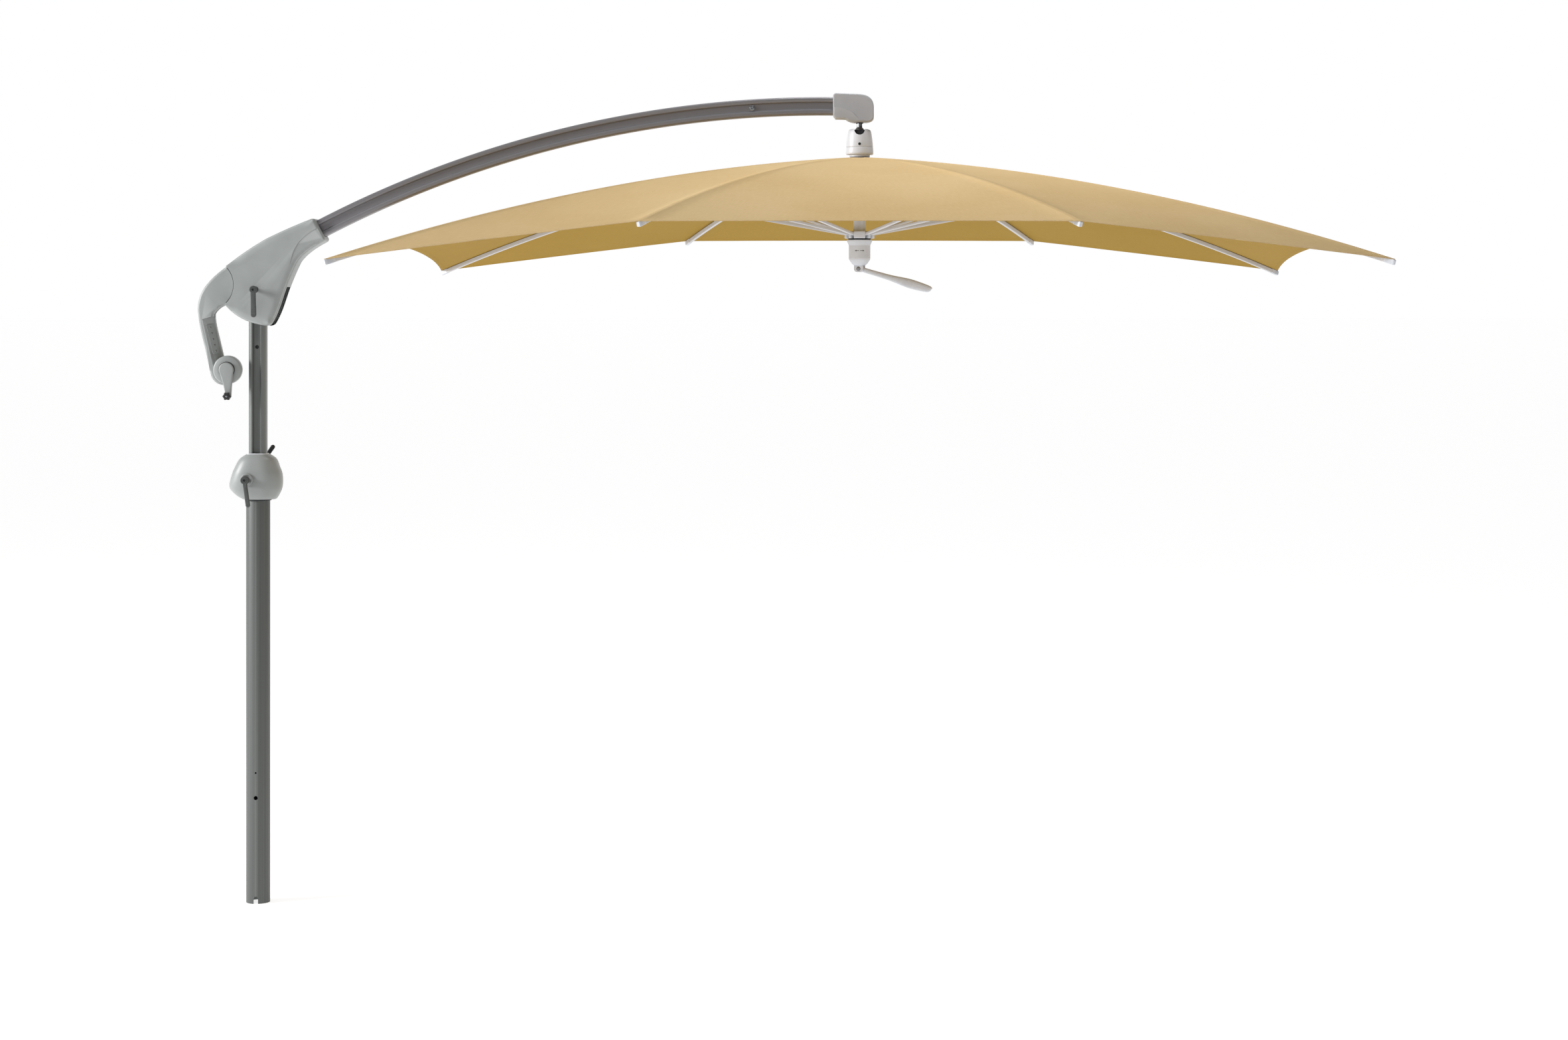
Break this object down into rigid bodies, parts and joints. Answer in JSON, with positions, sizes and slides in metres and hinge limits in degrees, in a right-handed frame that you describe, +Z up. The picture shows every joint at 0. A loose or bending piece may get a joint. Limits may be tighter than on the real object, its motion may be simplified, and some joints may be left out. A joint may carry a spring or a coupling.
{
  "type": "cantilever parasol",
  "caption": "Cantilever parasol: two-part mast, curved boom with crank tilt, ball joint and a rectangular ribbed canopy that folds",
  "frame": {"origin": "centre of the bottom end of the lower mast tube, which slides into a ground socket", "axes": "+Z up along the mast, +X from the mast to the canopy, -Y the side with the crank"},
  "size_m": [4.211, 2.6, 3.0088],
  "materials": {
    "mast_aluminium": "dark grey anodised, satin",
    "bare_aluminium": "satin",
    "rib_aluminium": "light grey powder coat",
    "grey_casting": "light grey powder coat on cast aluminium",
    "fitting_plastic": "light grey moulded, matt",
    "lever_plastic": "dark grey moulded, matt",
    "black_plastic": "black moulded, matt",
    "steel": "zinc plated",
    "bronze": "machined",
    "canopy_fabric": "sand woven acrylic"
  },
  "bodies": {
    "mast_base": {"lower_mast": "mast_aluminium"},
    "turntable": {"joint_front_shell": "grey_casting", "joint_rear_shell": "grey_casting", "slide_bush": "black_plastic"},
    "slide_lever": {"slide_clamp_lever": "lever_plastic"},
    "turn_lever": {"turn_clamp_lever": "black_plastic"},
    "mast": {"upper_mast": "mast_aluminium", "mast_head_block": "bare_aluminium", "worm_sector": "bronze"},
    "head": {"pivot_axle": "steel", "head_front_shell": "grey_casting", "head_rear_shell": "grey_casting", "crank_arm": "grey_casting", "arm_cover": "grey_casting", "gear_housing": "grey_casting", "boom": "mast_aluminium", "boom_end_cap": "grey_casting", "ball_stud": "steel"},
    "tilt_lever": {"tilt_clamp_lever": "lever_plastic"},
    "drive": {"drive_shaft": "steel"},
    "crank": {"crank_handle": "grey_casting"},
    "crank_grip": {"crank_knob": "black_plastic"},
    "ball_cup": {"ball_seat": "black_plastic"},
    "bell": {"bell_housing": "grey_casting"},
    "canopy_post": {"canopy_collar": "fitting_plastic", "canopy_pole": "bare_aluminium", "crown_hub": "fitting_plastic"},
    "rib_01": {"rib_01": "rib_aluminium", "canopy_01": "canopy_fabric"},
    "rib_02": {"rib_02": "rib_aluminium", "canopy_02": "canopy_fabric"},
    "rib_03": {"rib_03": "rib_aluminium", "canopy_03": "canopy_fabric"},
    "rib_04": {"rib_04": "rib_aluminium", "canopy_04": "canopy_fabric"},
    "rib_05": {"rib_05": "rib_aluminium", "canopy_05": "canopy_fabric"},
    "rib_06": {"rib_06": "rib_aluminium", "canopy_06": "canopy_fabric"},
    "rib_07": {"rib_07": "rib_aluminium", "canopy_07": "canopy_fabric"},
    "rib_08": {"rib_08": "rib_aluminium", "canopy_08": "canopy_fabric"},
    "rib_09": {"rib_09": "rib_aluminium", "canopy_09": "canopy_fabric"},
    "rib_10": {"rib_10": "rib_aluminium", "canopy_10": "canopy_fabric"},
    "strut_01": {"strut_01": "rib_aluminium"},
    "strut_02": {"strut_02": "rib_aluminium"},
    "strut_03": {"strut_03": "rib_aluminium"},
    "strut_04": {"strut_04": "rib_aluminium"},
    "strut_05": {"strut_05": "rib_aluminium"},
    "strut_06": {"strut_06": "rib_aluminium"},
    "strut_07": {"strut_07": "rib_aluminium"},
    "strut_08": {"strut_08": "rib_aluminium"},
    "strut_09": {"strut_09": "rib_aluminium"},
    "strut_10": {"strut_10": "rib_aluminium"},
    "runner": {"runner_hub": "fitting_plastic"},
    "lock": {"lever_housing": "fitting_plastic"},
    "paddle": {"opening_lever": "fitting_plastic"}
  },
  "joints": [
    {"name": "mast_turn", "type": "hinge", "parent": "mast_base", "child": "turntable", "pos_m": [0, 0, 1.6], "axis": [0, 0, 1], "continuous": true},
    {"name": "mast_slide", "type": "slide", "parent": "turntable", "child": "mast", "axis": [0, 0, 1], "range_m": [-0.15, 0.03]},
    {"name": "slide_lever_turn", "type": "hinge", "parent": "turntable", "child": "slide_lever", "pos_m": [-0.0275, 0, 1.576], "axis": [0, 1, 0], "range_deg": [0, 90]},
    {"name": "turn_lever_turn", "type": "hinge", "parent": "turntable", "child": "turn_lever", "pos_m": [-0.019, 0, 1.614], "axis": [0, 1, 0], "range_deg": [0, 90]},
    {"name": "boom_tilt", "type": "hinge", "parent": "mast", "child": "head", "pos_m": [0, 0, 2.28], "axis": [0, 1, 0], "range_deg": [-2, 15]},
    {"name": "tilt_lever_turn", "type": "hinge", "parent": "head", "child": "tilt_lever", "pos_m": [0, 0, 2.28], "axis": [0, 1, 0], "range_deg": [0, 90]},
    {"name": "drive_shaft_turn", "type": "hinge", "parent": "head", "child": "drive", "pos_m": [-0.1945, 0, 2.232], "axis": [-0.2396, 0, 0.9709], "range_deg": [-240, 1800]},
    {"name": "crank_turn", "type": "hinge", "parent": "head", "child": "crank", "pos_m": [-0.104, 0, 1.9825], "axis": [0, 1, 0], "range_deg": [-120, 900]},
    {"name": "knob_spin", "type": "hinge", "parent": "crank", "child": "crank_grip", "pos_m": [-0.096, 0, 1.8855], "axis": [0, 1, 0], "continuous": true},
    {"name": "canopy_tilt_fore", "type": "hinge", "parent": "head", "child": "ball_cup", "pos_m": [2.24, 0, 2.868], "axis": [0, 1, 0], "range_deg": [-25, 4]},
    {"name": "canopy_tilt_side", "type": "hinge", "parent": "ball_cup", "child": "bell", "pos_m": [2.24, 0, 2.868], "axis": [1, 0, 0], "range_deg": [-42, 15]},
    {"name": "canopy_turn", "type": "hinge", "parent": "bell", "child": "canopy_post", "pos_m": [2.24, 0, 2.8], "axis": [0, 0, 1], "range_deg": [-25, 25]},
    {"name": "rib_fold_01", "type": "hinge", "parent": "canopy_post", "child": "rib_01", "pos_m": [2.286, 0, 2.762], "axis": [0, 1, 0], "range_deg": [0, 77.5], "deforming": ["canopy_01"]},
    {"name": "rib_fold_02", "type": "hinge", "parent": "canopy_post", "child": "rib_02", "pos_m": [2.27693, 0.02743, 2.762], "axis": [-0.5963, 0.8027, 0], "range_deg": [0, 77.5], "deforming": ["canopy_02"]},
    {"name": "rib_fold_03", "type": "hinge", "parent": "canopy_post", "child": "rib_03", "pos_m": [2.26239, 0.04018, 2.762], "axis": [-0.8735, 0.4868, 0], "range_deg": [0, 77.5], "deforming": ["canopy_03"]},
    {"name": "rib_fold_04", "type": "hinge", "parent": "canopy_post", "child": "rib_04", "pos_m": [2.21761, 0.04018, 2.762], "axis": [-0.8735, -0.4868, 0], "range_deg": [0, 77.5], "deforming": ["canopy_04"]},
    {"name": "rib_fold_05", "type": "hinge", "parent": "canopy_post", "child": "rib_05", "pos_m": [2.20307, 0.02743, 2.762], "axis": [-0.5963, -0.8027, 0], "range_deg": [0, 77.5], "deforming": ["canopy_05"]},
    {"name": "rib_fold_06", "type": "hinge", "parent": "canopy_post", "child": "rib_06", "pos_m": [2.194, 0, 2.762], "axis": [0, -1, 0], "range_deg": [0, 77.5], "deforming": ["canopy_06"]},
    {"name": "rib_fold_07", "type": "hinge", "parent": "canopy_post", "child": "rib_07", "pos_m": [2.20307, -0.02743, 2.762], "axis": [0.5963, -0.8027, 0], "range_deg": [0, 77.5], "deforming": ["canopy_07"]},
    {"name": "rib_fold_08", "type": "hinge", "parent": "canopy_post", "child": "rib_08", "pos_m": [2.21761, -0.04018, 2.762], "axis": [0.8735, -0.4868, 0], "range_deg": [0, 77.5], "deforming": ["canopy_08"]},
    {"name": "rib_fold_09", "type": "hinge", "parent": "canopy_post", "child": "rib_09", "pos_m": [2.26239, -0.04018, 2.762], "axis": [0.8735, 0.4868, 0], "range_deg": [0, 77.5], "deforming": ["canopy_09"]},
    {"name": "rib_fold_10", "type": "hinge", "parent": "canopy_post", "child": "rib_10", "pos_m": [2.27693, -0.02743, 2.762], "axis": [0.5963, 0.8027, 0], "range_deg": [0, 77.5], "deforming": ["canopy_10"]},
    {"name": "strut_fold_01", "type": "hinge", "parent": "rib_01", "child": "strut_01", "pos_m": [3.06, 0, 2.624], "axis": [0, 1, 0], "range_deg": [-155, 0]},
    {"name": "strut_fold_02", "type": "hinge", "parent": "rib_02", "child": "strut_02", "pos_m": [2.89825, 0.48899, 2.624], "axis": [-0.5963, 0.8027, 0], "range_deg": [-155, 0]},
    {"name": "strut_fold_03", "type": "hinge", "parent": "rib_03", "child": "strut_03", "pos_m": [2.63919, 0.71628, 2.624], "axis": [-0.8735, 0.4868, 0], "range_deg": [-155, 0]},
    {"name": "strut_fold_04", "type": "hinge", "parent": "rib_04", "child": "strut_04", "pos_m": [1.84081, 0.71628, 2.624], "axis": [-0.8735, -0.4868, 0], "range_deg": [-155, 0]},
    {"name": "strut_fold_05", "type": "hinge", "parent": "rib_05", "child": "strut_05", "pos_m": [1.58175, 0.48899, 2.624], "axis": [-0.5963, -0.8027, 0], "range_deg": [-155, 0]},
    {"name": "strut_fold_06", "type": "hinge", "parent": "rib_06", "child": "strut_06", "pos_m": [1.42, 0, 2.624], "axis": [0, -1, 0], "range_deg": [-155, 0]},
    {"name": "strut_fold_07", "type": "hinge", "parent": "rib_07", "child": "strut_07", "pos_m": [1.58175, -0.48899, 2.624], "axis": [0.5963, -0.8027, 0], "range_deg": [-155, 0]},
    {"name": "strut_fold_08", "type": "hinge", "parent": "rib_08", "child": "strut_08", "pos_m": [1.84081, -0.71628, 2.624], "axis": [0.8735, -0.4868, 0], "range_deg": [-155, 0]},
    {"name": "strut_fold_09", "type": "hinge", "parent": "rib_09", "child": "strut_09", "pos_m": [2.63919, -0.71628, 2.624], "axis": [0.8735, 0.4868, 0], "range_deg": [-155, 0]},
    {"name": "strut_fold_10", "type": "hinge", "parent": "rib_10", "child": "strut_10", "pos_m": [2.89825, -0.48899, 2.624], "axis": [0.5963, 0.8027, 0], "range_deg": [-155, 0]},
    {"name": "runner_hinge", "type": "hinge", "parent": "strut_01", "child": "runner", "pos_m": [2.286, 0, 2.486], "axis": [0, 1, 0], "range_deg": [0, 77.5]},
    {"name": "lock_turn", "type": "hinge", "parent": "runner", "child": "lock", "pos_m": [2.24, 0, 2.45], "axis": [0, 0, 1], "range_deg": [-90, 0]},
    {"name": "lever_fold", "type": "hinge", "parent": "lock", "child": "paddle", "pos_m": [2.24, 0, 2.358], "axis": [0.309, 0.9511, 0], "range_deg": [-10, 70]}
  ],
  "couplings": [
    {"joint": "drive_shaft_turn", "follows": "boom_tilt", "ratio": 120},
    {"joint": "crank_turn", "follows": "boom_tilt", "ratio": 60},
    {"joint": "rib_fold_02", "follows": "rib_fold_01", "ratio": 1},
    {"joint": "rib_fold_03", "follows": "rib_fold_01", "ratio": 1},
    {"joint": "rib_fold_04", "follows": "rib_fold_01", "ratio": 1},
    {"joint": "rib_fold_05", "follows": "rib_fold_01", "ratio": 1},
    {"joint": "rib_fold_06", "follows": "rib_fold_01", "ratio": 1},
    {"joint": "rib_fold_07", "follows": "rib_fold_01", "ratio": 1},
    {"joint": "rib_fold_08", "follows": "rib_fold_01", "ratio": 1},
    {"joint": "rib_fold_09", "follows": "rib_fold_01", "ratio": 1},
    {"joint": "rib_fold_10", "follows": "rib_fold_01", "ratio": 1},
    {"joint": "strut_fold_01", "follows": "rib_fold_01", "ratio": -2},
    {"joint": "strut_fold_02", "follows": "rib_fold_01", "ratio": -2},
    {"joint": "strut_fold_03", "follows": "rib_fold_01", "ratio": -2},
    {"joint": "strut_fold_04", "follows": "rib_fold_01", "ratio": -2},
    {"joint": "strut_fold_05", "follows": "rib_fold_01", "ratio": -2},
    {"joint": "strut_fold_06", "follows": "rib_fold_01", "ratio": -2},
    {"joint": "strut_fold_07", "follows": "rib_fold_01", "ratio": -2},
    {"joint": "strut_fold_08", "follows": "rib_fold_01", "ratio": -2},
    {"joint": "strut_fold_09", "follows": "rib_fold_01", "ratio": -2},
    {"joint": "strut_fold_10", "follows": "rib_fold_01", "ratio": -2},
    {"joint": "runner_hinge", "follows": "rib_fold_01", "ratio": 1}
  ]
}
